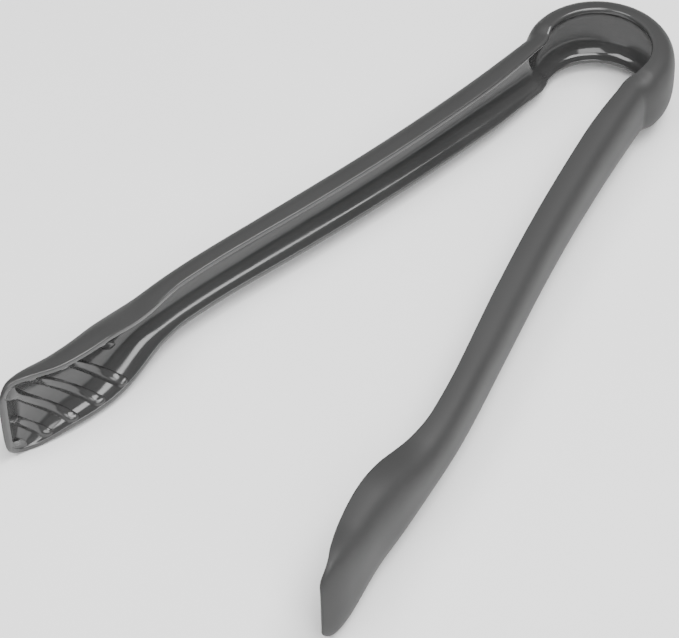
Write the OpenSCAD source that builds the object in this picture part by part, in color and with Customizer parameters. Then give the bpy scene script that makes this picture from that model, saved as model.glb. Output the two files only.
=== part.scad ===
// One-piece spring tongs, lying on the lower edges of their jaws.
// A round bow at the back is the spring. It carries two arms of channel section, open towards
// each other, which end in wide scoops with slanted grip ribs.
// +X runs from the bow to the tips, +Y points to the left arm and +Z is up.

/* [Overall] */
// Length from the back of the bow to the tips
length = 229; // [200:1:280]
// Wall thickness at the back of the channel
back_wall = 2; // [1.6:0.1:2.5]
// Wall thickness at the rims of the channel
rim_wall = 1.6; // [1.2:0.1:2.2]
// Outside corner radius as a share of the channel's depth
corner_share = 0.72; // [0.55:0.01:0.78]

/* [Spring bow] */
// Outside diameter of the bow
bow_d = 45; // [37:1:54]
// Width of the bow's band
bow_w = 21.5; // [17:0.5:26]
// Depth of the channel round the bow
bow_depth = 7.2; // [6:0.1:8.7]
// Angle that the bow runs round from its crown to each waist
bow_sweep = 108; // [96:1:116]
// Clearance angle between the bow's links for squeezing, at their flexing lines
squeeze_gap = 3.6; // [3.3:0.1:4.5]
// Clearance angle between the bow's links for splaying
splay_gap = 1; // [0.8:0.1:2]

/* [Waist] */
// Outside radius of the crease between the bow and an arm
crease_r = 4; // [3:0.5:6]
// Width of the channel at the waist
waist_w = 19.4; // [16:0.1:23]
// Depth of the channel at the waist
waist_depth = 7.4; // [6:0.1:9]
// Direction of an arm as it leaves the waist, from the centre line
waist_angle = 7.5; // [4:0.5:12]
// Length of the solid shoulder past the waist
shoulder_length = 9; // [6:1:15]

/* [Arms] */
// Distance from the bow's back to the middle of the grip
grip_at = 75; // [60:1:90]
// Width of the channel at the grip
grip_w = 17.9; // [15:0.1:21]
// Depth of the channel along the grip
grip_depth = 8.5; // [7:0.1:10]
// Direction of the straight stretch of an arm, from the centre line
arm_angle = 13.4; // [11:0.1:15]
// Length of the straight stretch
straight_length = 27; // [15:1:32]
// Width of an arm at its neck, behind the jaw
neck_w = 16.8; // [14:0.1:20]
// Depth of an arm at its neck
neck_depth = 7.6; // [6.4:0.1:9]

/* [Jaws] */
// Length of a jaw, from the neck to the tip
jaw_length = 60; // [50:1:70]
// Width of a jaw where its flare from the arm ends
jaw_w = 25; // [21:0.5:28]
// Width of a jaw near its tip, which sets the height that the tongs stand on
tip_w = 28; // [23:0.5:33]
// Depth of a jaw at its heel, where it is deepest
heel_depth = 10.4; // [8.7:0.1:12.5]
// Depth of a jaw at its belly, behind the tip
belly_depth = 8.7; // [7.2:0.1:10.5]
// Depth of a jaw at its tip
tip_depth = 1.3; // [1:0.1:2]
// Direction of the back of an arm at its neck, from the centre line
neck_angle = 9; // [7:0.5:11]
// Direction of the back of the jaw at its heel
heel_angle = 3; // [1:0.5:6]
// Direction of the back of the jaw at its belly
belly_angle = 10; // [6:0.5:12]
// Inward slope that the back of the jaw reaches at the tip
tip_angle = 30; // [15:1:35]
// Corner radius of the tip, seen on the open side
tip_corner_r = 5.5; // [3:0.5:7.5]
// Thickness of the rim across the tip
tip_rim = 0.9; // [0.7:0.1:1.4]

/* [Grip ribs] */
// Number of ribs in a jaw
rib_count = 6; // [3:1:6]
// Distance from one rib to the next, along the jaw
rib_pitch = 8.1; // [7:0.1:9]
// Distance of the last rib's lower end from the tip
rib_margin = 5; // [4:0.5:7]
// Run of a rib along the jaw for each millimetre across it
rib_slant = 0.85; // [0.5:0.05:1]
// Width of a rib
rib_w = 2.6; // [1.8:0.1:3.2]
// Height of a rib above the floor of the scoop
rib_h = 1.6; // [1:0.1:2]

/* [Hidden] */
side_nodes = ["shoulder", "grip", "shank", "jaw"];
link_count = 3;
NODES = concat(
    ["bow_crown"],
    [for (hand = ["left", "right"], i = [1:link_count]) str(hand, "_bow_link_", i)],
    [for (hand = ["left", "right"], name = side_nodes) str(hand, "_", name)],
    [for (hand = ["left", "right"], i = [1:rib_count]) str(hand, "_rib_", i)]
);
plastic = [0.36, 0.36, 0.36];

bow_r = bow_d / 2;
// A joint plane sits in the middle of each of the bow's flexing lengths.
joint_step = bow_sweep / (link_count + 1);
function joint_angle(i) = (i - 0.5) * joint_step;
last_joint = joint_angle(link_count + 1);
// The bow bends about a line on the inside face of its back wall.
flex_depth = back_wall;
// A slit of this many degrees, about 0.1 mm, keeps neighbouring links apart at that line.
flex_slit = 0.3;

// The waist crease is an arc outside the channel that turns the bow's line into the arm's.
bow_end_heading = 90 - bow_sweep;
crease_centre = [
    -bow_r * cos(bow_sweep) - crease_r * sin(bow_end_heading),
    bow_r * sin(bow_sweep) + crease_r * cos(bow_end_heading)
];
waist_x = crease_centre.x + crease_r * sin(waist_angle);
waist_y = crease_centre.y - crease_r * cos(waist_angle);
waist_at = waist_x + bow_r;

// Distances from the back of the bow to the places that shape an arm.
neck_at = length - jaw_length;
straight_end = neck_at - 24;
flare_start = neck_at + 5;
heel_at = neck_at + 20;
back_bend_at = neck_at + 26;
flare_end = neck_at + 29;
belly_at = length - 20;
curl_at = length - 11;
widest_at = length - 8;
corner_at = length - tip_corner_r;

headings = [
    [waist_at, waist_angle],
    [grip_at, (waist_angle + arm_angle) / 2],
    [straight_end - straight_length, arm_angle],
    [straight_end, arm_angle],
    [neck_at, neck_angle],
    [back_bend_at, heel_angle],
    [belly_at, belly_angle],
    [curl_at, belly_angle / 2],
    [length, -tip_angle]
];
widths = [
    [waist_at, waist_w],
    [grip_at, grip_w],
    [flare_start, neck_w],
    [flare_end, jaw_w],
    [belly_at, jaw_w + 0.3],
    [widest_at, tip_w],
    [length, tip_w]
];
depths = [
    [waist_at, waist_depth],
    [grip_at - 20, grip_depth],
    [straight_end - straight_length, grip_depth - 0.2],
    [neck_at - 18, neck_depth],
    [neck_at - 5, neck_depth],
    [heel_at, heel_depth],
    [belly_at, belly_depth],
    [curl_at + 2, (belly_depth + tip_depth) / 2 + 1],
    [length, tip_depth]
];

// A fair curve through a list of [place, value] that never overshoots its values.
function secant(list, i) = (list[i + 1][1] - list[i][1]) / (list[i + 1][0] - list[i][0]);
function mean_slope(a, b) = a * b <= 0 ? 0 : 2 * a * b / (a + b);
function slope(list, i) =
    i == 0 ? secant(list, 0)
    : i == len(list) - 1 ? secant(list, i - 1)
    : mean_slope(secant(list, i - 1), secant(list, i));
function stretch(list, x, i = 0) =
    i == len(list) - 2 || x <= list[i + 1][0] ? i : stretch(list, x, i + 1);
function fair(list, x) =
    let(
        i = stretch(list, x),
        run = list[i + 1][0] - list[i][0],
        u = min(1, max(0, (x - list[i][0]) / run)),
        u2 = u * u,
        u3 = u2 * u
    )
    (2 * u3 - 3 * u2 + 1) * list[i][1] + (u3 - 2 * u2 + u) * run * slope(list, i)
    + (3 * u2 - 2 * u3) * list[i + 1][1] + (u3 - u2) * run * slope(list, i + 1);

// The outside line of an arm, found by following its headings from the waist.
trace_steps = 200;
trace_step = (length - waist_at) / trace_steps;
trace = [
    for (
        i = 0, y = waist_y;
        i <= trace_steps;
        y = y + trace_step * tan(fair(headings, waist_at + (i + 0.5) * trace_step)), i = i + 1
    )
    [waist_at + i * trace_step, y]
];

// A station is [x, y, heading, width, depth, inner half width, inner depth, lean].
// Lean tips a station about the bow's flexing line, which leaves the links' clearance.
function plain_station(x, y, heading, width, depth, lean = [0, 0]) =
    [x, y, heading, width, depth, width / 2 - rim_wall, depth - back_wall, lean];
function bow_station(angle, lean = [0, 0]) =
    let(share = (1 - cos(180 * (angle - last_joint) / (bow_sweep - last_joint))) / 2)
    plain_station(
        -bow_r * cos(angle), bow_r * sin(angle), 90 - angle,
        bow_w + (waist_w - bow_w) * share, bow_depth + (waist_depth - bow_depth) * share, lean
    );
function crease_station(heading) =
    plain_station(
        crease_centre.x + crease_r * sin(heading), crease_centre.y - crease_r * cos(heading),
        heading, waist_w, waist_depth
    );
// How far a rounded corner of this radius has come in, this far from its end.
function corner_cut(radius, from_end) =
    from_end >= radius ? 0 : radius - sqrt(radius * radius - pow(radius - max(from_end, 0), 2));
// The scoop is at least this deep where its floor meets the lip at the tip.
least_hollow = 0.3;
function arm_station(at) =
    let(
        width = fair(widths, at),
        depth = fair(depths, at),
        from_end = length - at,
        inner_corner = tip_corner_r - tip_rim,
        hollow = from_end >= tip_rim - 0.01
    )
    [
        at - bow_r, lookup(at, trace), fair(headings, at),
        width - 2 * corner_cut(tip_corner_r, from_end), depth,
        hollow
            ? width / 2 - rim_wall - corner_cut(inner_corner, from_end - tip_rim)
            : width / 2 - tip_corner_r,
        hollow ? max(depth - back_wall, least_hollow) : 0, [0, 0]
    ];

// One edge of the channel's section as [inward, up] points, from the upper rim to the lower.
corner_steps = 5;
function half_section(half_w, depth, corner, back) =
    concat(
        [[back + depth, half_w]],
        [
            for (i = [0:corner_steps])
            let(turn = 90 * i / corner_steps)
            [back + corner * (1 - sin(turn)), half_w - corner * (1 - cos(turn))]
        ]
    );
function mirrored(points) = [for (i = [len(points) - 1:-1:0]) [points[i].x, -points[i].y]];
function section_edge(half_w, depth, corner, back) =
    let(half = half_section(half_w, depth, corner, back)) concat(half, mirrored(half));
// The hollow's corner leaves the back's wall all the way round, within what its depth allows.
least_corner = 0.4;
fullest_corner = 0.7;
function inner_corner(s) =
    min(max(corner_share * s[4] - back_wall, least_corner), fullest_corner * s[6]);
function ring_section(s) =
    concat(
        section_edge(s[3] / 2, s[4], corner_share * s[4], 0),
        section_edge(s[5], s[6], inner_corner(s), s[4] - s[6])
    );
ring_edge = 2 * (corner_steps + 2);
ring_size = 2 * ring_edge;

// A point of a station: so far inward from the outside line, and so far up.
function placed(s, inward, up) =
    let(
        lean = inward > flex_depth ? s[7][0] : s[7][1],
        forward = abs(inward - flex_depth) * tan(lean)
    )
    [
        s[0] + inward * sin(s[2]) + forward * cos(s[2]),
        s[1] - inward * cos(s[2]) + forward * sin(s[2]),
        up
    ];
function ring(s) = [for (p = ring_section(s)) placed(s, p[0], p[1])];

// The solid channel between the first station and the last.
function wall_quads(rings) =
    [
        for (r = [0:rings - 2], k = [0:ring_edge - 2], edge = [0, 1])
        let(a = r * ring_size + edge * ring_edge + k, b = a + ring_size)
        edge == 0 ? [a, a + 1, b + 1, b] : [b, b + 1, a + 1, a]
    ];
function rim_quads(rings) =
    [
        for (r = [0:rings - 2], end = [0, ring_edge - 1])
        let(o = r * ring_size + end, i = o + ring_edge)
        end == 0
            ? [o, o + ring_size, i + ring_size, i]
            : [o, i, i + ring_size, o + ring_size]
    ];
function cap_quads(first, last) =
    [
        for (k = [0:ring_edge - 2], base = [first, last])
        let(o = base + k, i = o + ring_edge)
        base == first ? [o, i, i + 1, o + 1] : [o, o + 1, i + 1, i]
    ];
module channel(stations) {
    rings = len(stations);
    faces = concat(
        wall_quads(rings),
        rim_quads(rings),
        cap_quads(0, (rings - 1) * ring_size)
    );
    split = [for (f = faces) each [[f[0], f[1], f[2]], [f[0], f[2], f[3]]]];
    polyhedron(points = [for (s = stations) each ring(s)], faces = split, convexity = 6);
}

// Puts a left-hand shape on its side, and in the frame that stands on the jaws' lower edges.
module placed_on(hand) {
    translate([bow_r - length / 2, 0, tip_w / 2])
        mirror([0, hand == "right" ? 1 : 0, 0])
            children();
}

// The bow's band is turned about the bow's centre and cut off along the links' flexing lines.
// The band is turned a little too far at both ends, and a cut reaches this share of the bow's
// radius both ways from its flexing line, which clears the channel.
spare_turn = 5;
cut_reach = 0.4;
cut_height = 2 * bow_w;
function polar(radius, angle) = [-radius * cos(angle), radius * sin(angle)];
function flex_face(angle, sense) =
    let(
        line = polar(bow_r - flex_depth, angle + sense * flex_slit / 2),
        outer = polar(bow_r, angle + sense * splay_gap / 2),
        inner = polar(bow_r, angle - sense * squeeze_gap / 2)
    )
    [line + outer * cut_reach, line, line - inner * cut_reach];
module bow_piece(from, to) {
    band = [
        for (p = ring_section(plain_station(0, 0, 0, bow_w, bow_depth)))
        [bow_r - p[0], p[1]]
    ];
    outer_edge = [for (i = [0:ring_edge - 1]) band[i]];
    inner_edge = [for (i = [ring_size - 1:-1:ring_edge]) band[i]];
    near = flex_face(from, 1);
    far = flex_face(to, -1);
    color(plastic)
        intersection() {
            rotate([0, 0, 180 - to - spare_turn])
                rotate_extrude(angle = to - from + 2 * spare_turn, $fn = 180)
                    polygon(concat(outer_edge, inner_edge));
            linear_extrude(height = cut_height, center = true)
                polygon(concat(near, [far[2], far[1], far[0]]));
        }
}

module bow_crown() {
    placed_on("left") bow_piece(-joint_angle(1), joint_angle(1));
}

module bow_link(hand, i) {
    placed_on(hand) bow_piece(joint_angle(i), joint_angle(i + 1));
}

// The end of the bow, the crease at the waist and the root of the arm.
shoulder_end = waist_at + shoulder_length;
module shoulder(hand) {
    stations = concat(
        [bow_station(last_joint + flex_slit / 2, [squeeze_gap / 2, splay_gap / 2])],
        [for (k = [1:3]) bow_station(last_joint + (bow_sweep - last_joint) * k / 3)],
        [
            for (k = [1:5])
            crease_station(bow_end_heading + (waist_angle - bow_end_heading) * k / 5)
        ],
        [for (k = [1:3]) arm_station(waist_at + shoulder_length * k / 3)]
    );
    color(plastic) placed_on(hand) channel(stations);
}

module arm_stretch(hand, from, to, steps) {
    color(plastic)
        placed_on(hand)
            channel([for (k = [0:steps]) arm_station(from + (to - from) * k / steps)]);
}

// The part of the arm that the fingers squeeze.
grip_end = (shoulder_end + neck_at) / 2;
module grip(hand) {
    arm_stretch(hand, shoulder_end, grip_end, 10);
}

// The plain part of the arm between the grip and the jaw.
module shank(hand) {
    arm_stretch(hand, grip_end, neck_at, 10);
}

// The floor rises to the lip's full height over this length.
lip_rise = 0.35;
module jaw(hand) {
    body_steps = 15;
    corner_turns = 6;
    corner_stations = [
        for (k = [1:corner_turns])
        corner_at + tip_corner_r * sin(90 * k / corner_turns)
    ];
    last_hollow = length - tip_rim;
    stations = concat(
        [for (k = [0:body_steps]) neck_at + (widest_at - neck_at) * k / body_steps],
        [corner_at],
        [for (at = corner_stations) if (at < last_hollow - lip_rise / 2) at],
        [last_hollow, last_hollow + lip_rise],
        [for (at = corner_stations) if (at > last_hollow + 1.5 * lip_rise) at]
    );
    color(plastic) placed_on(hand) channel([for (at = stations) arm_station(at)]);
}

// A rib follows the scoop's inner face from rim to rim, on a slanting line. Its base is sunk a
// little into the wall, which it is moulded with.
rib_sink = 0.3;
// A rib's height is never more than this share of the hollow's depth.
rib_depth_share = 0.6;
rib_steps = 18;
rib_sides = 6;
rib_half_run = rib_w / 2 * sqrt(1 + rib_slant * rib_slant);
rib_limit = length - tip_rim - rib_half_run;
function rib_start(i) = length - rib_margin - (rib_count - i) * rib_pitch;
// Where a line at this share of the way round a station's inner face runs, from -1 at the
// lower rim to 1 at the upper rim, lifted off the face.
function face_section(s, lift) =
    section_edge(
        s[5] - lift, s[6] - lift, max(inner_corner(s) - lift, least_corner / 2), s[4] - s[6] + lift
    );
function face_place(s, share, lift = 0) =
    let(
        edge = face_section(s, lift),
        place = (1 - share) / 2 * (ring_edge - 1),
        k = min(floor(place), ring_edge - 2)
    )
    edge[k] + (edge[k + 1] - edge[k]) * (place - k);
function rib_at(i, share) =
    let(s = arm_station(rib_start(i)))
    rib_start(i) + rib_slant * (face_place(s, share).y + s[5]);
function rib_ring(i, share) =
    let(
        middle = rib_at(i, share),
        height = min(rib_h, rib_depth_share * arm_station(middle)[6]),
        profile = concat(
            [[-1, -rib_sink]],
            [for (k = [0:rib_sides]) [-cos(180 * k / rib_sides), height * sin(180 * k / rib_sides)]],
            [[1, -rib_sink]]
        )
    )
    [
        for (p = profile)
        let(s = arm_station(middle + rib_half_run * p[0]), q = face_place(s, share, p[1]))
        placed(s, q[0], q[1])
    ];
// The rib nearest the neck starts on the floor, because the scoop is still too narrow for it.
first_rib_share = -0.3;
function rib_first_share(i) = i == 1 ? first_rib_share : -1;
module rib(hand, i) {
    shares = [
        for (k = [0:rib_steps])
        let(share = -1 + 2 * k / rib_steps)
        if (share >= rib_first_share(i) && rib_at(i, share) <= rib_limit) share
    ];
    rings = len(shares);
    size = rib_sides + 3;
    sides = [
        for (r = [0:rings - 2], k = [0:size - 1])
        let(a = r * size + k, b = r * size + (k + 1) % size)
        each [[a, b, b + size], [a, b + size, a + size]]
    ];
    last = (rings - 1) * size;
    caps = [for (k = [1:size - 2]) each [[0, k + 1, k], [last, last + k, last + k + 1]]];
    color(plastic)
        placed_on(hand)
            polyhedron(
                points = [for (share = shares) each rib_ring(i, share)],
                faces = concat(sides, caps),
                convexity = 6
            );
}

module side_piece(name, hand) {
    if (name == str(hand, "_shoulder")) shoulder(hand);
    if (name == str(hand, "_grip")) grip(hand);
    if (name == str(hand, "_shank")) shank(hand);
    if (name == str(hand, "_jaw")) jaw(hand);
    for (i = [1:link_count]) if (name == str(hand, "_bow_link_", i)) bow_link(hand, i);
    for (i = [1:rib_count]) if (name == str(hand, "_rib_", i)) rib(hand, i);
}

bow_crown();
for (name = NODES, hand = ["left", "right"]) {
    side_piece(name, hand);
}
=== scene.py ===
"""One-piece spring tongs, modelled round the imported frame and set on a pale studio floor.

The bow, the arms and the scoops are one moulding, so every piece here ends on a section that the
next one starts from, and the joins do not show. Sizes are in millimetres until a point is placed.
"""

import math

import bmesh
import bpy
from mathutils import Matrix, Vector


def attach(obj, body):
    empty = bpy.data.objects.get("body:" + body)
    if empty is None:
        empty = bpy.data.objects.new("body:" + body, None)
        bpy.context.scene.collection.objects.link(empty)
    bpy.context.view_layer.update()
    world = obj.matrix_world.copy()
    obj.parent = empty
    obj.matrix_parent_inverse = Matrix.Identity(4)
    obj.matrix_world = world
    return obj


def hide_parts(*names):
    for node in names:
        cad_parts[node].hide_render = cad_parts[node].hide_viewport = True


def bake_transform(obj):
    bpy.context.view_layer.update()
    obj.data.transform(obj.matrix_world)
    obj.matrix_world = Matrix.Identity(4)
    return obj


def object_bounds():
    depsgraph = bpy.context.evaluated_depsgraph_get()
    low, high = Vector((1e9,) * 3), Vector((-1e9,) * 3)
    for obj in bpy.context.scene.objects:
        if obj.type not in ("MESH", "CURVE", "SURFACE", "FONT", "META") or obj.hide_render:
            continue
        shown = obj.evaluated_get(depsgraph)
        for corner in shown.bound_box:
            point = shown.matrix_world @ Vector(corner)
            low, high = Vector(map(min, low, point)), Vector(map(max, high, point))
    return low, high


bl_info = {
    "name": "Spring tongs",
    "version": (1, 0, 0),
    "blender": (4, 5, 0),
    "location": "3D View > Sidebar > Tongs",
    "description": "Builds one-piece moulded spring tongs and the stage that shows them",
    "category": "Add Mesh",
}

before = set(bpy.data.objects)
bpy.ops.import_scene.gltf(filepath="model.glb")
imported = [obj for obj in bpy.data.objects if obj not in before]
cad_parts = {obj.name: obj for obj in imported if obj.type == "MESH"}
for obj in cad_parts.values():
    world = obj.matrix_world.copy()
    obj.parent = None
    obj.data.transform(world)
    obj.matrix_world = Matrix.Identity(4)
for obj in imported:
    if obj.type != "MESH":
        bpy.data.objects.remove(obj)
CAD_LOW, CAD_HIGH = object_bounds()
SIDES = {"left": 1, "right": -1}
METRE = 1000.0  # millimetres in a metre

# The bow and the crease at the waist: angles in degrees, lengths in millimetres.
WAIST_ANGLE = 7.5
WAIST_WIDTH = 19.4
WAIST_DEPTH = 7.4
BOW_SWEEP = 108.0
BOW_LAST_FLEX = 94.5
BOW_CROWN_HALF = 13.5
CREASE_RADIUS = 4.0
# How square the channel's curve is, outside and in the hollow.
OUTER_FULLNESS = 3.3
INNER_FULLNESS = 2.25
END_ROUND = 0.55  # radius across the edge of the tip
BOW_EDGE = 0.8  # outside rounding of the bow's rims, which is broader than the arms'
WAIST_EDGE = 1.1  # inside rounding of the rims at the waist
LIP_BLEND = 0.3  # how softly the scoop's floor meets the flush lip at the tip
WAIST_FADE = 12.0  # length over which an arm's rims take up their own rounding


def rad(degrees):
    return math.radians(degrees)


def ease(share):
    """From 0 to 1 with no corner at either end."""
    share = min(1.0, max(0.0, share))
    return (1 - math.cos(math.pi * share)) / 2


def secant(table, i):
    return (table[i + 1][1] - table[i][1]) / (table[i + 1][0] - table[i][0])


def slope(table, i):
    if i == 0:
        return secant(table, 0)
    if i == len(table) - 1:
        return secant(table, i - 1)
    before, after = secant(table, i - 1), secant(table, i)
    return 0 if before * after <= 0 else 2 * before * after / (before + after)


def fair(table, x):
    """The value at x of a fair curve through [place, value] pairs, which never overshoots them."""
    i = 0
    while i < len(table) - 2 and x > table[i + 1][0]:
        i += 1
    run = table[i + 1][0] - table[i][0]
    u = min(1.0, max(0.0, (x - table[i][0]) / run))
    return (
        (2 * u**3 - 3 * u**2 + 1) * table[i][1]
        + (u**3 - 2 * u**2 + u) * run * slope(table, i)
        + (3 * u**2 - 2 * u**3) * table[i + 1][1]
        + (u**3 - u**2) * run * slope(table, i + 1)
    )


def corner_cut(radius, from_end):
    """How far a rounded corner has come in, this far from its end."""
    if from_end >= radius:
        return 0.0
    return radius - math.sqrt(max(radius**2 - (radius - max(from_end, 0.0)) ** 2, 0.0))


class Moulding:
    """The moulding's lines and sections, worked out from the sizes."""

    def __init__(self, sizes):
        self.sizes = sizes
        self.length = (CAD_HIGH.x - CAD_LOW.x) * METRE
        self.origin_x = CAD_LOW.x * METRE
        self.middle_z = (CAD_HIGH.z + CAD_LOW.z) / 2 * METRE
        self.bow_r = sizes.bow_diameter * METRE / 2
        self.bow_w = sizes.bow_width * METRE
        self.bow_depth = sizes.bow_depth * METRE
        self.back_wall = sizes.back_wall * METRE
        self.rim_wall = sizes.rim_wall * METRE
        self.edge = sizes.edge_radius * METRE
        self.tip_corner = sizes.tip_corner * METRE
        self.tip_rim = sizes.tip_rim * METRE
        self.neck_at = self.length - 60.0
        end_heading = 90 - BOW_SWEEP
        self.crease = (
            -self.bow_r * math.cos(rad(BOW_SWEEP)) - CREASE_RADIUS * math.sin(rad(end_heading)),
            self.bow_r * math.sin(rad(BOW_SWEEP)) + CREASE_RADIUS * math.cos(rad(end_heading)),
        )
        waist_y = self.crease[1] - CREASE_RADIUS * math.cos(rad(WAIST_ANGLE))
        waist_at = self.crease[0] + CREASE_RADIUS * math.sin(rad(WAIST_ANGLE)) + self.bow_r
        self.waist_at = waist_at
        neck, end = self.neck_at, self.length
        self.headings = [
            (waist_at, WAIST_ANGLE), (75, 10.45), (neck - 51, 13.4), (neck - 24, 13.4),
            (neck, 9), (neck + 26, 3), (end - 20, 10), (end - 11, 5), (end, -30),
        ]
        self.widths = [
            (waist_at, WAIST_WIDTH), (75, 17.9), (neck + 5, 16.8), (neck + 29, 25),
            (end - 20, 25.3), (end - 8, 28), (end, 28),
        ]
        self.depths = [
            (waist_at, WAIST_DEPTH), (55, 8.5), (neck - 51, 8.3), (neck - 18, 7.6), (neck - 5, 7.6),
            (neck + 20, 10.4), (end - 20, 8.7), (end - 9, 6.0), (end, 1.3),
        ]
        self.steps = 600
        self.step = (end - waist_at) / self.steps
        self.line = [waist_y]
        for i in range(self.steps):
            heading = fair(self.headings, waist_at + (i + 0.5) * self.step)
            self.line.append(self.line[-1] + self.step * math.tan(rad(heading)))

    def line_y(self, at):
        place = (at - self.waist_at) / self.step
        i = min(max(int(place), 0), self.steps - 1)
        return self.line[i] + (self.line[i + 1] - self.line[i]) * (place - i)

    def station(self, x, y, heading, width, depth, **more):
        made = {
            "x": x, "y": y, "heading": heading, "half": width / 2, "depth": depth,
            "inner_half": width / 2 - self.rim_wall, "inner_depth": depth - self.back_wall,
            "inset": 0.0, "inner_edge": self.edge, "outer_edge": self.edge,
        }
        made.update(more)
        return made

    def bow_station(self, angle):
        """A station on the bow, this many degrees round from its crown."""
        share = ease((angle - BOW_LAST_FLEX) / (BOW_SWEEP - BOW_LAST_FLEX))
        return self.station(
            -self.bow_r * math.cos(rad(angle)), self.bow_r * math.sin(rad(angle)), 90 - angle,
            self.bow_w + (WAIST_WIDTH - self.bow_w) * share,
            self.bow_depth + (WAIST_DEPTH - self.bow_depth) * share,
            outer_edge=BOW_EDGE, inner_edge=self.edge + (WAIST_EDGE - self.edge) * share,
        )

    def crease_station(self, heading):
        return self.station(
            self.crease[0] + CREASE_RADIUS * math.sin(rad(heading)),
            self.crease[1] - CREASE_RADIUS * math.cos(rad(heading)),
            heading, WAIST_WIDTH, WAIST_DEPTH, outer_edge=BOW_EDGE, inner_edge=WAIST_EDGE,
        )

    def arm_station(self, at):
        width, depth = fair(self.widths, at), fair(self.depths, at)
        from_end = self.length - at
        into_hollow = from_end - self.tip_rim
        inner_corner = self.tip_corner - self.tip_rim
        full = depth - self.back_wall
        faded = ease((at - self.waist_at) / WAIST_FADE)
        inner_depth = (full + math.hypot(full, LIP_BLEND)) / 2 * ease(into_hollow)
        return self.station(
            at - self.bow_r, self.line_y(at), fair(self.headings, at),
            width - 2 * corner_cut(self.tip_corner, from_end), depth,
            inner_half=width / 2 - self.rim_wall - corner_cut(inner_corner, into_hollow),
            inner_depth=inner_depth,
            inset=corner_cut(END_ROUND, from_end),
            outer_edge=BOW_EDGE + (self.edge - BOW_EDGE) * faded,
            inner_edge=WAIST_EDGE + (self.edge - WAIST_EDGE) * faded,
        )

    def outer_half_section(self, s):
        """[inward, up] points of the outside, from the upper rim to the middle of the back."""
        front, back = s["depth"] - s["inset"], s["inset"]
        depth = front - back
        edge = min(s["outer_edge"], depth * 0.3)
        curve = shell_curve(s["half"], depth, OUTER_FULLNESS, edge, 26)
        points = arc(front - edge, curve[0][1] - edge, edge, 0, 90, 4)
        return points + [(front - n, up) for n, up in curve[1:]]

    def inner_half_section(self, s):
        """The same for the hollow, from the upper rim to the middle of the floor."""
        front, half = s["depth"] - s["inset"], s["inner_half"]
        edge = min(s["inner_edge"], s["inner_depth"] * 0.3)
        points = arc(front - edge, half + edge, edge, 360, 270, 4)
        curve = shell_curve(half, s["inner_depth"], INNER_FULLNESS, edge, 22)
        return points + [(front - n, up) for n, up in curve[1:]]

    def section(self, s):
        """The whole closed section, and how many of its points are on the outside."""
        outer = there_and_back(self.outer_half_section(s))
        inner = there_and_back(self.inner_half_section(s))
        return outer + inner[::-1], len(outer)

    def place(self, s, point, side):
        """A point of a station's section, in metres, in the frame's own place."""
        inward, up = point
        h = rad(s["heading"])
        return Vector((
            s["x"] + inward * math.sin(h) + self.bow_r + self.origin_x,
            side * (s["y"] - inward * math.cos(h)),
            up + self.middle_z,
        )) / METRE


def arc(inward, up, radius, start, stop, steps):
    """Points round a centre; 0 degrees points inward and 90 points up."""
    turns = [rad(start + (stop - start) * k / steps) for k in range(steps + 1)]
    return [(inward + radius * math.cos(t), up + radius * math.sin(t)) for t in turns]


def shell_curve(half, depth, fullness, start, steps):
    """[inward from the rims, up] points of half a channel's curve, from a rim to the middle.

    It is a superellipse: a fullness of 2 is an ellipse and a larger one is squarer."""
    power = 2 / fullness
    first = math.asin(min(1.0, (start / depth) ** (1 / power))) if depth > 1e-6 else 0.0
    points = []
    for k in range(steps + 1):
        u = k / steps
        share = u**1.5 / (u**1.5 + (1 - u) ** 1.5)
        turn = first + (math.pi / 2 - first) * share
        across = max(math.cos(turn), 0.0) ** power if k < steps else 0.0
        points.append((depth * math.sin(turn) ** power, half * across))
    return points


def there_and_back(half):
    return half + [(p[0], -p[1]) for p in half[-2::-1]]


def spaced(start, stop, step):
    count = max(1, math.ceil((stop - start) / step - 1e-9))
    return [start + (stop - start) * k / count for k in range(count + 1)]


# ---------------------------------------------------------------------------------------------
# Colours and materials
# ---------------------------------------------------------------------------------------------


def linear(colour):
    """An sRGB hex colour as linear red, green, blue and alpha."""
    parts = [int(colour[i:i + 2], 16) / 255 for i in (1, 3, 5)]
    return [
        *(c / 12.92 if c <= 0.04045 else ((c + 0.055) / 1.055) ** 2.4 for c in parts),
        1.0,
    ]


def add_node(tree, kind, settings=None, inputs=None, links=None):
    """Adds one node; settings are its properties, inputs its constants, links its feeds."""
    node = tree.nodes.new(kind)
    for name, value in (settings or {}).items():
        setattr(node, name, value)
    for name, value in (inputs or {}).items():
        node.inputs[name].default_value = value
    for name, socket in (links or {}).items():
        tree.links.new(socket, node.inputs[name])
    return node


def new_material(name):
    material = bpy.data.materials.new(name)
    material.use_nodes = True
    material.node_tree.nodes.clear()
    return material, material.node_tree


def tinted(tree, height, dark, pale):
    """A colour between dark and pale, by a pattern's height."""
    return add_node(
        tree, "ShaderNodeMix", {"data_type": "RGBA"},
        {6: linear(dark), 7: linear(pale)}, {0: height},
    ).outputs[2]


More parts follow.
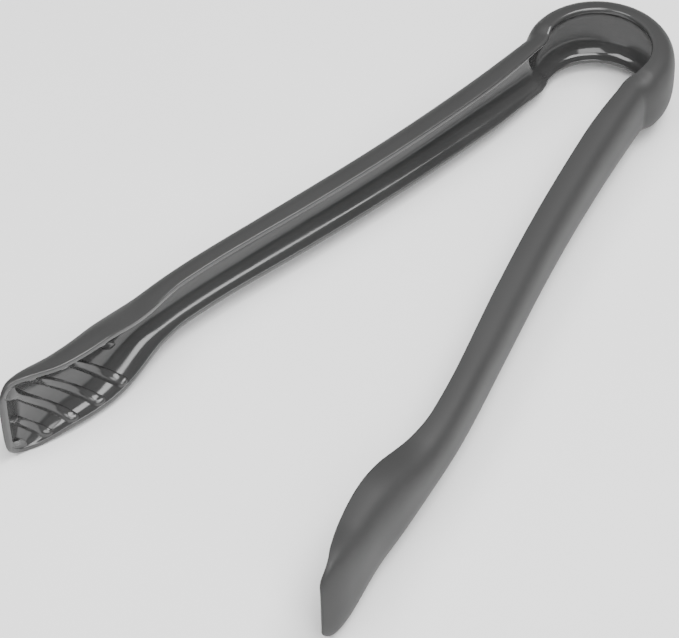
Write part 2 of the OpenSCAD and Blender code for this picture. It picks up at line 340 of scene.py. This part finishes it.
def satin_nylon(finish):
    """Nylon, moulded against a spark-eroded steel: soft grey sheen with a very fine grain."""
    material, tree = new_material("Moulded nylon, spark-eroded satin")
    place = add_node(tree, "ShaderNodeTexCoord").outputs["Object"]
    # Slow cloudiness where the melt cooled unevenly, about 25 mm across.
    cloud = add_node(
        tree, "ShaderNodeTexNoise", None,
        {"Scale": 1000 / 25, "Detail": 2.0, "Roughness": 0.5}, {"Vector": place},
    ).outputs["Fac"]
    # The eroded grain is near 0.1 mm and would not show, so it is drawn 0.35 mm across.
    grain = add_node(
        tree, "ShaderNodeTexNoise", None,
        {"Scale": 1000 / 0.35, "Detail": 3.0, "Roughness": 0.6}, {"Vector": place},
    ).outputs["Fac"]
    colour = tinted(tree, cloud, finish.satin_dark_hex, finish.satin_pale_hex)
    roughness = add_node(
        tree, "ShaderNodeMapRange", None,
        {"From Min": 0.3, "From Max": 0.7, "To Min": 0.5, "To Max": 0.58}, {"Value": cloud},
    ).outputs["Result"]
    bump = add_node(
        tree, "ShaderNodeBump", None, {"Strength": 0.25, "Distance": 0.00003}, {"Height": grain},
    ).outputs["Normal"]
    shader = add_node(
        tree, "ShaderNodeBsdfPrincipled", None, {"IOR": 1.53, "Specular IOR Level": 0.3},
        {"Base Color": colour, "Roughness": roughness, "Normal": bump},
    ).outputs["BSDF"]
    add_node(tree, "ShaderNodeOutputMaterial", None, None, {"Surface": shader})
    return material


def polished_nylon_with_painted_light(finish):
    """Nylon, moulded against polished steel: darker, with crisp reflections that wander a bit. Its
    base grey is still paler than the satin's on the same nylon: painted light.
    """
    material, tree = new_material("Moulded nylon, polished, with painted light")
    place = add_node(tree, "ShaderNodeTexCoord").outputs["Object"]
    # Shrinkage waves of the cooled wall, about 14 mm across and a few microns high.
    wave = add_node(
        tree, "ShaderNodeTexNoise", None,
        {"Scale": 1000 / 14, "Detail": 1.0, "Roughness": 0.4}, {"Vector": place},
    ).outputs["Fac"]
    # The wave varies the grey at random; both greys sit above the satin's as painted light in the
    # hollow, on the rims and ribs.
    colour = tinted(tree, wave, finish.polish_dark_with_painted_light_hex, finish.polish_pale_with_painted_light_hex)
    roughness = add_node(
        tree, "ShaderNodeMapRange", None,
        {"From Min": 0.3, "From Max": 0.7, "To Min": 0.1, "To Max": 0.17}, {"Value": wave},
    ).outputs["Result"]
    bump = add_node(
        tree, "ShaderNodeBump", None, {"Strength": 0.6, "Distance": 0.0001}, {"Height": wave},
    ).outputs["Normal"]
    shader = add_node(
        tree, "ShaderNodeBsdfPrincipled", None, {"IOR": 1.53},
        {"Base Color": colour, "Roughness": roughness, "Normal": bump},
    ).outputs["BSDF"]
    add_node(tree, "ShaderNodeOutputMaterial", None, None, {"Surface": shader})
    return material


def studio_floor(colour):
    """Painted board: matt and almost white, so that it only takes soft shadows."""
    material, tree = new_material("Painted board, matt white")
    place = add_node(tree, "ShaderNodeTexCoord").outputs["Object"]
    mottle = add_node(
        tree, "ShaderNodeTexNoise", None, {"Scale": 12.0, "Detail": 2.0}, {"Vector": place},
    ).outputs["Fac"]
    shade = tinted(tree, mottle, colour, "#fcfcfc")
    shader = add_node(
        tree, "ShaderNodeBsdfPrincipled", None, {"Roughness": 0.9}, {"Base Color": shade},
    ).outputs["BSDF"]
    add_node(tree, "ShaderNodeOutputMaterial", None, None, {"Surface": shader})
    return material


# ---------------------------------------------------------------------------------------------
# Meshes
# ---------------------------------------------------------------------------------------------


def finish_mesh(bm, name, side, materials, sharp_ends):
    """Merges, closes and orients a bmesh, and makes it an object of the scene."""
    bmesh.ops.remove_doubles(bm, verts=bm.verts, dist=2e-6)
    bmesh.ops.dissolve_degenerate(bm, dist=1e-7, edges=bm.edges)
    open_edges = [e for e in bm.edges if e.is_boundary]
    if open_edges:
        bmesh.ops.holes_fill(bm, edges=open_edges, sides=0)
    if any(e.is_boundary for e in bm.edges):
        raise RuntimeError(f"{name} is not closed")
    if side < 0:
        bmesh.ops.scale(bm, vec=(1, -1, 1), verts=bm.verts)
    bmesh.ops.recalc_face_normals(bm, faces=bm.faces)
    for face in bm.faces:
        face.smooth = True
    for edge in open_edges:
        if edge.is_valid and sharp_ends(edge):
            edge.smooth = False
    mesh = bpy.data.meshes.new(name)
    bm.to_mesh(mesh)
    bm.free()
    for material in materials:
        mesh.materials.append(material)
    piece = bpy.data.objects.new(name, mesh)
    bpy.context.scene.collection.objects.link(piece)
    return piece


def sweep(moulding, stations):
    """A grid with a row for each station, wrapped round the stations' sections.

    Faces of the hollow and of the rims get the second material, which is the polished one, its grey
    painted paler than the satin's as painted light."""
    sections = [moulding.section(s) for s in stations]
    around = len(sections[0][0])
    outside = sections[0][1]
    bm = bmesh.new()
    bmesh.ops.create_grid(bm, x_segments=len(stations) - 1, y_segments=around, size=1.0)

    def index(value, count):
        return round((value + 1) / 2 * count)

    for face in bm.faces:
        column = (face.calc_center_median().y + 1) / 2 * around
        on_rim_edge = column < 4 or outside - 5 < column < outside
        face.material_index = 1 if column > outside - 1 or on_rim_edge else 0
    for vert in bm.verts:
        row = index(vert.co.x, len(stations) - 1)
        column = index(vert.co.y, around) % around
        vert.co = moulding.place(stations[row], sections[row][0][column], 1)
    return bm


def bow_band(moulding, name, start, stop, side, materials):
    """The bow's band between two angles from its crown, spun about the bow's centre."""
    first = moulding.station(
        -moulding.bow_r * math.cos(rad(start)), moulding.bow_r * math.sin(rad(start)),
        90 - start, moulding.bow_w, moulding.bow_depth, outer_edge=BOW_EDGE,
    )
    points, _ = moulding.section(first)
    bm = bmesh.new()
    loop = [bm.verts.new(moulding.place(first, p, 1)) for p in points]
    edges = [bm.edges.new((a, b)) for a, b in zip(loop, loop[1:] + loop[:1])]
    centre = moulding.place(moulding.station(0, 0, 0, 0, 0), (0, 0), 1)
    bmesh.ops.spin(
        bm, geom=loop + edges, cent=centre, axis=(0, 0, -1), angle=rad(stop - start),
        steps=round((stop - start) * 1.5), use_merge=False, use_duplicate=False,
    )
    rim_radius = (moulding.bow_r - moulding.bow_depth + BOW_EDGE * 1.02) / METRE
    hollow_radius = (moulding.bow_r - moulding.back_wall + 0.01) / METRE
    hollow_half = (moulding.bow_w / 2 - moulding.rim_wall + 0.01) / METRE
    for face in bm.faces:
        middle = face.calc_center_median() - centre
        radius = middle.xy.length
        in_hollow = radius < hollow_radius and abs(middle.z) < hollow_half
        face.material_index = 1 if radius < rim_radius or in_hollow else 0
    return finish_mesh(bm, name, side, materials, lambda edge: True)


def arm(moulding, name, side, materials):
    """The shoulder, the crease at the waist and the arm's channel, up to the neck."""
    stations = [moulding.bow_station(a) for a in spaced(BOW_LAST_FLEX, BOW_SWEEP, 1.0)]
    crease = spaced(90 - BOW_SWEEP, WAIST_ANGLE, 1.5)
    stations += [moulding.crease_station(h) for h in crease[1:]]
    along = spaced(moulding.waist_at, moulding.neck_at, 1.0)
    stations += [moulding.arm_station(at) for at in along[1:]]
    return finish_mesh(sweep(moulding, stations), name, side, materials, lambda edge: True)


def jaw(moulding, name, side, materials):
    """The scoop, from the neck to the rounded tip with its lip."""
    end = moulding.length
    hollow_end = end - moulding.tip_rim
    corner = end - moulding.tip_corner
    along = spaced(moulding.neck_at, corner, 0.7) + spaced(corner, hollow_end - 1.0, 0.25)[1:]
    along += [hollow_end - back for back in (0.8, 0.6, 0.45, 0.3, 0.2, 0.12, 0.05)]
    along += [hollow_end, hollow_end + 0.08, hollow_end + 0.15]
    along += [end - END_ROUND * (1 - math.sin(rad(90 * k / 12))) for k in range(0, 12)]
    along += [end - 0.002]
    stations = [moulding.arm_station(at) for at in along]
    tip_x = moulding.place(stations[-1], (0, 0), 1).x
    return finish_mesh(
        sweep(moulding, stations), name, side, materials,
        lambda edge: edge.verts[0].co.x < tip_x - 0.01,
    )


def face_path(s, lift):
    """The hollow's face at a station, lifted off it, from the lower rim to the upper rim."""
    depth = max(s["inner_depth"] - lift, 0.05)
    front = s["depth"] - s["inset"] + depth - (s["inner_depth"] - lift)
    curve = shell_curve(s["inner_half"] - lift, depth, INNER_FULLNESS, 0.3 * min(depth, 1), 24)
    return there_and_back([(front - n, up) for n, up in curve])[::-1]


def along_path(points, share):
    """The point at a share of a path's points, counted evenly."""
    place = share * (len(points) - 1)
    k = min(int(place), len(points) - 2)
    a, b = points[k], points[k + 1]
    return a[0] + (b[0] - a[0]) * (place - k), a[1] + (b[1] - a[1]) * (place - k)


RIB_END = 2.8  # how near to the tip the middle of a rib's upper end comes
# Half of a rib's section: [share of the half width, share of the height], from its sunk foot.
RIB_SECTION = [
    (-1.3, -0.35), (-1.17, -0.02), (-1.06, 0.12), (-0.96, 0.36), (-0.88, 0.64), (-0.74, 0.85),
    (-0.5, 0.97), (-0.2, 1.0),
]


def rib(moulding, name, number, side, materials):
    """One slanted rib, which follows the scoop's face from the lower flange to the upper one."""
    sizes = moulding.sizes
    pitch, slant = sizes.rib_pitch * METRE, sizes.rib_slant
    half_width, height = sizes.rib_width * METRE / 2, sizes.rib_height * METRE
    start = moulding.length - 5.0 - (6 - number) * pitch
    half_run = half_width * math.sqrt(1 + slant**2)
    first_station = moulding.arm_station(start)
    limit = moulding.length - RIB_END

    def middle_at(share):
        station = moulding.arm_station(start)
        up = along_path(face_path(station, 0), share)[1]
        return start + slant * (up + first_station["inner_half"])

    low = 0.36 if number == 1 else 0.0
    high = 1.0
    while high > low and middle_at(high) > limit:
        high -= 0.005
    steps = 56
    shares = [low + (high - low) * k / steps for k in range(steps + 1)]
    # Places along the rib in millimetres, which its rounded ends are measured from.
    middles = [
        moulding.place(
            moulding.arm_station(middle_at(t)),
            along_path(face_path(moulding.arm_station(middle_at(t)), 0), t), 1,
        ) * METRE
        for t in shares
    ]
    run_to = [0.0]
    for a, b in zip(middles, middles[1:]):
        run_to.append(run_to[-1] + (b - a).length)
    total = run_to[-1]
    section = RIB_SECTION + [(-u, h) for u, h in RIB_SECTION[::-1]]
    around = len(section) + 2
    bm = bmesh.new()
    bmesh.ops.create_grid(bm, x_segments=steps, y_segments=around, size=1.0)
    rings = []
    for t, gone in zip(shares, run_to):
        near_end = min(gone, total - gone) / (half_width * 1.15)
        nose = math.sqrt(max(1 - (1 - min(near_end, 1.0)) ** 2, 0.0))
        ring = [(u * max(nose, 0.02), h * height * nose**0.7) for u, h in section]
        ring += [(0.9 * max(nose, 0.02), -0.3), (-0.9 * max(nose, 0.02), -0.3)]
        middle = middle_at(t)
        placed = []
        for u, lift in ring:
            s = moulding.arm_station(min(middle + half_run * u, moulding.length - 1.3))
            placed.append(moulding.place(s, along_path(face_path(s, lift), t), 1))
        rings.append(placed)
    for vert in bm.verts:
        row = round((vert.co.x + 1) / 2 * steps)
        column = round((vert.co.y + 1) / 2 * around) % around
        vert.co = rings[row][column]
    return finish_mesh(bm, name, side, materials, lambda edge: False)


# ---------------------------------------------------------------------------------------------
# Settings
# ---------------------------------------------------------------------------------------------


class TongsSizes(bpy.types.PropertyGroup):
    bow_diameter: bpy.props.FloatProperty(
        name="Bow diameter", description="Outside diameter of the spring bow",
        default=0.045, unit="LENGTH",
    )
    bow_width: bpy.props.FloatProperty(
        name="Bow width", description="Width of the bow's band",
        default=0.0215, unit="LENGTH",
    )
    bow_depth: bpy.props.FloatProperty(
        name="Bow depth", description="Depth of the channel round the bow",
        default=0.0072, unit="LENGTH",
    )
    back_wall: bpy.props.FloatProperty(
        name="Back wall", description="Wall thickness at the back of the channel",
        default=0.002, unit="LENGTH",
    )
    rim_wall: bpy.props.FloatProperty(
        name="Rim wall", description="Wall thickness at the rims of the channel",
        default=0.0016, unit="LENGTH",
    )
    edge_radius: bpy.props.FloatProperty(
        name="Edge radius", description="Rounding of the rims' edges",
        default=0.00035, unit="LENGTH",
    )
    tip_corner: bpy.props.FloatProperty(
        name="Tip corner", description="Corner radius of the tip, seen on the open side",
        default=0.0055, unit="LENGTH",
    )
    tip_rim: bpy.props.FloatProperty(
        name="Tip lip", description="Thickness of the lip across the tip",
        default=0.0009, unit="LENGTH",
    )
    rib_pitch: bpy.props.FloatProperty(
        name="Rib pitch", description="Distance from one rib to the next, along the scoop",
        default=0.0081, unit="LENGTH",
    )
    rib_slant: bpy.props.FloatProperty(
        name="Rib slant", description="Run of a rib along the scoop for its run across",
        default=0.85,
    )
    rib_width: bpy.props.FloatProperty(
        name="Rib width", description="Width of a rib", default=0.0026, unit="LENGTH",
    )
    rib_height: bpy.props.FloatProperty(
        name="Rib height", description="Height of a rib above the floor of the scoop",
        default=0.0012, unit="LENGTH",
    )


class TongsFinish(bpy.types.PropertyGroup):
    satin_dark_hex: bpy.props.StringProperty(
        name="Satin, dark", description="Darker grey of the satin outside", default="#303030",
    )
    satin_pale_hex: bpy.props.StringProperty(
        name="Satin, pale", description="Paler grey of the satin outside", default="#363636",
    )
    # The polished greys are paler than the satin's though the nylon is the same: painted light for
    # the hollow, rims and ribs.
    polish_dark_with_painted_light_hex: bpy.props.StringProperty(
        name="Polish, dark", description="Darker grey of the polished hollow", default="#3a3a3a",
    )
    polish_pale_with_painted_light_hex: bpy.props.StringProperty(
        name="Polish, pale", description="Paler grey of the polished hollow", default="#404040",
    )


class TongsStage(bpy.types.PropertyGroup):
    floor_hex: bpy.props.StringProperty(
        name="Floor", description="Colour of the floor", default="#f4f4f4",
    )
    lens: bpy.props.FloatProperty(
        name="Lens", description="Focal length of the camera in millimetres", default=144.8,
    )


def materials_of(context):
    """The satin and the polished material, made once; the polished one's paler grey is painted
    light.
    """
    names = ("Moulded nylon, spark-eroded satin", "Moulded nylon, polished, with painted light")
    if names[0] not in bpy.data.materials:
        satin_nylon(context.scene.tongs_finish)
        polished_nylon_with_painted_light(context.scene.tongs_finish)
    return [bpy.data.materials[name] for name in names]


# ---------------------------------------------------------------------------------------------
# Operators
# ---------------------------------------------------------------------------------------------


class TONGS_OT_bow(bpy.types.Operator):
    """Builds the bow: a stiff crown and its two sides"""

    bl_idname = "tongs.bow"
    bl_label = "Bow"

    def execute(self, context):
        moulding = Moulding(context.scene.tongs_sizes)
        finishes = materials_of(context)
        crown = bow_band(moulding, "crown", -BOW_CROWN_HALF, BOW_CROWN_HALF, 1, finishes)
        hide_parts("bow_crown")
        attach(crown, "bow_crown")
        # Each side spans the stretch that bends in the real bow, from the crown to the shoulder.
        for hand, side in SIDES.items():
            name = f"{hand}_bow_side"
            band = bow_band(moulding, name, BOW_CROWN_HALF, BOW_LAST_FLEX, side, finishes)
            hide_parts(*(f"{hand}_bow_link_{i}" for i in (1, 2, 3)))
            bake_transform(band)
        return {"FINISHED"}


class TONGS_OT_arms(bpy.types.Operator):
    """Builds the two arms, from the shoulders to the necks"""

    bl_idname = "tongs.arms"
    bl_label = "Arms"

    def execute(self, context):
        moulding = Moulding(context.scene.tongs_sizes)
        for hand, side in SIDES.items():
            piece = arm(moulding, f"{hand}_channel", side, materials_of(context))
            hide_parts(*(f"{hand}_{n}" for n in ("shoulder", "grip", "shank")))
            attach(piece, f"{hand}_arm")
        return {"FINISHED"}


class TONGS_OT_jaws(bpy.types.Operator):
    """Builds the two scoops"""

    bl_idname = "tongs.jaws"
    bl_label = "Scoops"

    def execute(self, context):
        moulding = Moulding(context.scene.tongs_sizes)
        for hand, side in SIDES.items():
            piece = jaw(moulding, f"{hand}_scoop", side, materials_of(context))
            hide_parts(f"{hand}_jaw")
            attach(piece, f"{hand}_arm")
        return {"FINISHED"}


class TONGS_OT_ribs(bpy.types.Operator):
    """Builds the slanted ribs on the floors of the scoops"""

    bl_idname = "tongs.ribs"
    bl_label = "Ribs"

    def execute(self, context):
        moulding = Moulding(context.scene.tongs_sizes)
        # The ribs take the polished material, whose paler grey is painted light.
        polished = materials_of(context)[1]
        for hand, side in SIDES.items():
            for number in range(1, 7):
                piece = rib(moulding, f"{hand}_grip_rib_{number}", number, side, [polished])
                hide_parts(f"{hand}_rib_{number}")
                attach(piece, f"{hand}_arm")
        return {"FINISHED"}


class TONGS_OT_stage(bpy.types.Operator):
    """Sets the floor, the lights and the camera"""

    bl_idname = "tongs.stage"
    bl_label = "Stage"

    def execute(self, context):
        stage = context.scene.tongs_stage
        bm = bmesh.new()
        bmesh.ops.create_grid(bm, x_segments=1, y_segments=1, size=4.0)
        bmesh.ops.translate(bm, vec=(0, 0, CAD_LOW.z - 0.0002), verts=bm.verts)
        mesh = bpy.data.meshes.new("floor")
        bm.to_mesh(mesh)
        bm.free()
        mesh.materials.append(studio_floor(stage.floor_hex))
        floor = bpy.data.objects.new("floor", mesh)
        context.scene.collection.objects.link(floor)

        world = bpy.data.worlds.new("Studio air")
        world.use_nodes = True
        world.node_tree.nodes["Background"].inputs["Color"].default_value = (1, 1, 1, 1)
        world.node_tree.nodes["Background"].inputs["Strength"].default_value = 0.3
        context.scene.world = world

        lamps = [
            # name, place, aim, width, height, watts
            ("Softbox over the camera", (0.62, 0.75, 1.15), (0, 0, 0), 0.9, 0.9, 16),
            ("Window", (0.42, -0.24, 0.95), (-0.08, 0, 0), 0.5, 0.4, 6),
            ("Softbox overhead", (-0.22, 0.24, 1.05), (0, 0, 0), 0.7, 0.6, 15),
        ]
        for name, place, aim, width, height, watts in lamps:
            lamp = bpy.data.lights.new(name, "AREA")
            lamp.shape = "RECTANGLE"
            lamp.size, lamp.size_y, lamp.energy = width, height, watts
            holder = bpy.data.objects.new(name, lamp)
            holder.location = place
            towards = Vector(aim) - Vector(place)
            holder.rotation_euler = towards.to_track_quat("-Z", "Y").to_euler()
            context.scene.collection.objects.link(holder)

        camera_data = bpy.data.cameras.new("Camera")
        camera_data.sensor_fit = "HORIZONTAL"
        camera_data.sensor_width = 36.0
        camera_data.lens = stage.lens
        camera_data.clip_start, camera_data.clip_end = 0.05, 20.0
        camera = bpy.data.objects.new("Camera", camera_data)
        right = Vector((-0.5918, 0.8059, -0.0183)).normalized()
        forward = Vector((-0.5435, -0.4157, -0.7293)).normalized()
        up = right.cross(forward).normalized()
        turn = Matrix((right, up, -forward)).transposed().to_4x4()
        camera.matrix_world = Matrix.Translation((0.43266, 0.30333, 0.55108)) @ turn
        context.scene.collection.objects.link(camera)
        context.scene.camera = camera
        return {"FINISHED"}


class TONGS_PT_panel(bpy.types.Panel):
    """Lists the tongs' builders and their sizes"""

    bl_idname = "TONGS_PT_panel"
    bl_label = "Spring tongs"
    bl_space_type = "VIEW_3D"
    bl_region_type = "UI"
    bl_category = "Tongs"

    def draw(self, context):
        for group in (context.scene.tongs_sizes, context.scene.tongs_finish):
            for name in group.__annotations__:
                self.layout.prop(group, name)
        for operator in BUILDERS:
            self.layout.operator(operator.bl_idname)


BUILDERS = (TONGS_OT_bow, TONGS_OT_arms, TONGS_OT_jaws, TONGS_OT_ribs, TONGS_OT_stage)
GROUPS = {"tongs_sizes": TongsSizes, "tongs_finish": TongsFinish, "tongs_stage": TongsStage}


def register():
    for group in GROUPS.values():
        bpy.utils.register_class(group)
    for name, group in GROUPS.items():
        setattr(bpy.types.Scene, name, bpy.props.PointerProperty(type=group))
    for operator in BUILDERS:
        bpy.utils.register_class(operator)
    bpy.utils.register_class(TONGS_PT_panel)


def unregister():
    bpy.utils.unregister_class(TONGS_PT_panel)
    for operator in reversed(BUILDERS):
        bpy.utils.unregister_class(operator)
    for name in GROUPS:
        delattr(bpy.types.Scene, name)
    for group in GROUPS.values():
        bpy.utils.unregister_class(group)


def main():
    register()
    for operator in BUILDERS:
        space, name = operator.bl_idname.split(".")
        getattr(getattr(bpy.ops, space), name)()


if __name__ == "__main__":
    main()
